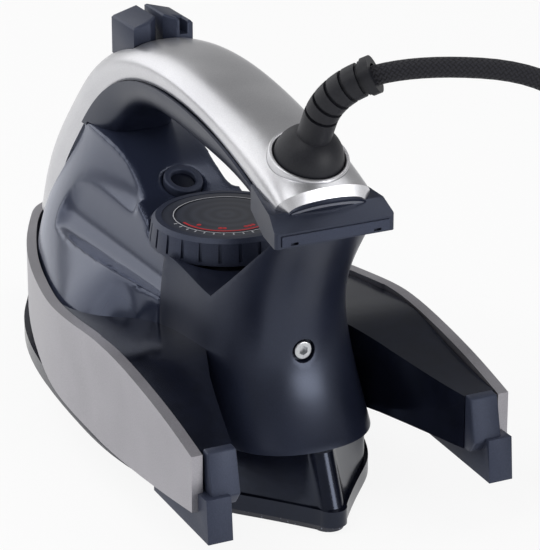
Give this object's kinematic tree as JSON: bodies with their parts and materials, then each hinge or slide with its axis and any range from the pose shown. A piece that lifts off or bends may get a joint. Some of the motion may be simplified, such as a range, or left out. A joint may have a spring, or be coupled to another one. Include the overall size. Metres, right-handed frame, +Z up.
{
  "type": "steam iron",
  "caption": "Household steam iron with an arched silver handle, smoked water tank, turning heat dial, push buttons, hinged filler lid and swivelling cord on a coiled mains lead.",
  "frame": {"origin": "on the ironing surface, under the middle of the iron's box without its cord", "axes": "+X towards the nose of the sole, +Y to the iron's left, +Z up from the sole"},
  "size_m": [0.3397, 0.2541, 0.1815],
  "materials": {
    "silver_shell": "silver lacquer on plastic",
    "silver_panel": "satin silver lacquer",
    "dark_gloss": "polished moulding",
    "smoked_tank": "clear smoked moulding",
    "grey_soft": "fine grain",
    "dial_print": "printed",
    "enamel_sole": "dark enamel on metal",
    "cast_metal": "as cast",
    "steel": "plain",
    "plated_pins": "nickel plated",
    "seal_rubber": "moulded",
    "guard_rubber": "moulded",
    "braid": "woven sleeve",
    "inner_plastic": "moulded"
  },
  "bodies": {
    "iron": {"handle_shell": "silver_shell", "swivel_collar": "silver_shell", "left_side_panel": "silver_panel", "right_side_panel": "silver_panel", "rear_housing": "dark_gloss", "base_skirt": "dark_gloss", "left_wing": "dark_gloss", "right_wing": "dark_gloss", "handle_underside": "dark_gloss", "heel_plate": "dark_gloss", "water_tank": "smoked_tank", "tank_base": "smoked_tank", "left_end_cap": "grey_soft", "right_end_cap": "grey_soft", "left_heel_foot": "grey_soft", "right_heel_foot": "grey_soft", "heel_pad": "grey_soft", "self_clean_collar": "grey_soft", "soleplate": "enamel_sole", "heater_casting": "cast_metal", "steam_chamber_cover": "cast_metal", "heating_element": "steel", "base_screws": "steel", "thermostat": "steel", "thermal_fuse": "steel", "rear_screw": "steel", "hinge_pin": "steel", "plug_pins": "plated_pins", "chamber_seal": "seal_rubber", "plug_body": "guard_rubber", "cord_tie": "guard_rubber", "power_cord": "braid", "cord_coil": "braid", "drip_valve": "inner_plastic", "steam_pump": "inner_plastic", "spray_pump": "inner_plastic", "spray_nozzle": "inner_plastic", "terminal_block": "inner_plastic"},
    "temperature_dial": {"temperature_dial": "grey_soft", "dial_face": "dial_print", "dial_spindle": "steel"},
    "steam_button": {"steam_button": "grey_soft", "steam_plunger": "inner_plastic"},
    "spray_button": {"spray_button": "grey_soft", "spray_plunger": "inner_plastic"},
    "self_clean_button": {"self_clean_button": "grey_soft", "self_clean_rod": "inner_plastic"},
    "filler_lid": {"filler_lid": "silver_shell"},
    "cord_swivel": {"cord_guard": "guard_rubber"}
  },
  "joints": [
    {"name": "dial_turn", "type": "hinge", "parent": "iron", "child": "temperature_dial", "pos_m": [-0.037, 0, 0.09], "axis": [0, 0, 1], "range_deg": [-140, 140]},
    {"name": "steam_press", "type": "slide", "parent": "iron", "child": "steam_button", "axis": [0, 0, -1], "range_m": [0, 0.003], "stiffness_N_per_m": 900, "springref_m": -0.002},
    {"name": "spray_press", "type": "slide", "parent": "iron", "child": "spray_button", "axis": [0, 0, -1], "range_m": [0, 0.003], "stiffness_N_per_m": 900, "springref_m": -0.002},
    {"name": "self_clean_press", "type": "slide", "parent": "iron", "child": "self_clean_button", "axis": [0.4067, 0, -0.9135], "range_m": [0, 0.0025], "stiffness_N_per_m": 900, "springref_m": -0.002},
    {"name": "lid_swing", "type": "hinge", "parent": "iron", "child": "filler_lid", "pos_m": [0.10414, 0, 0.08442], "axis": [0, 1, 0], "range_deg": [0, 95]},
    {"name": "cord_turn", "type": "hinge", "parent": "iron", "child": "cord_swivel", "pos_m": [-0.105, 0, 0.1372], "axis": [-0.3907, 0, 0.9205], "range_deg": [-40, 40], "deforming": ["power_cord"]}
  ]
}
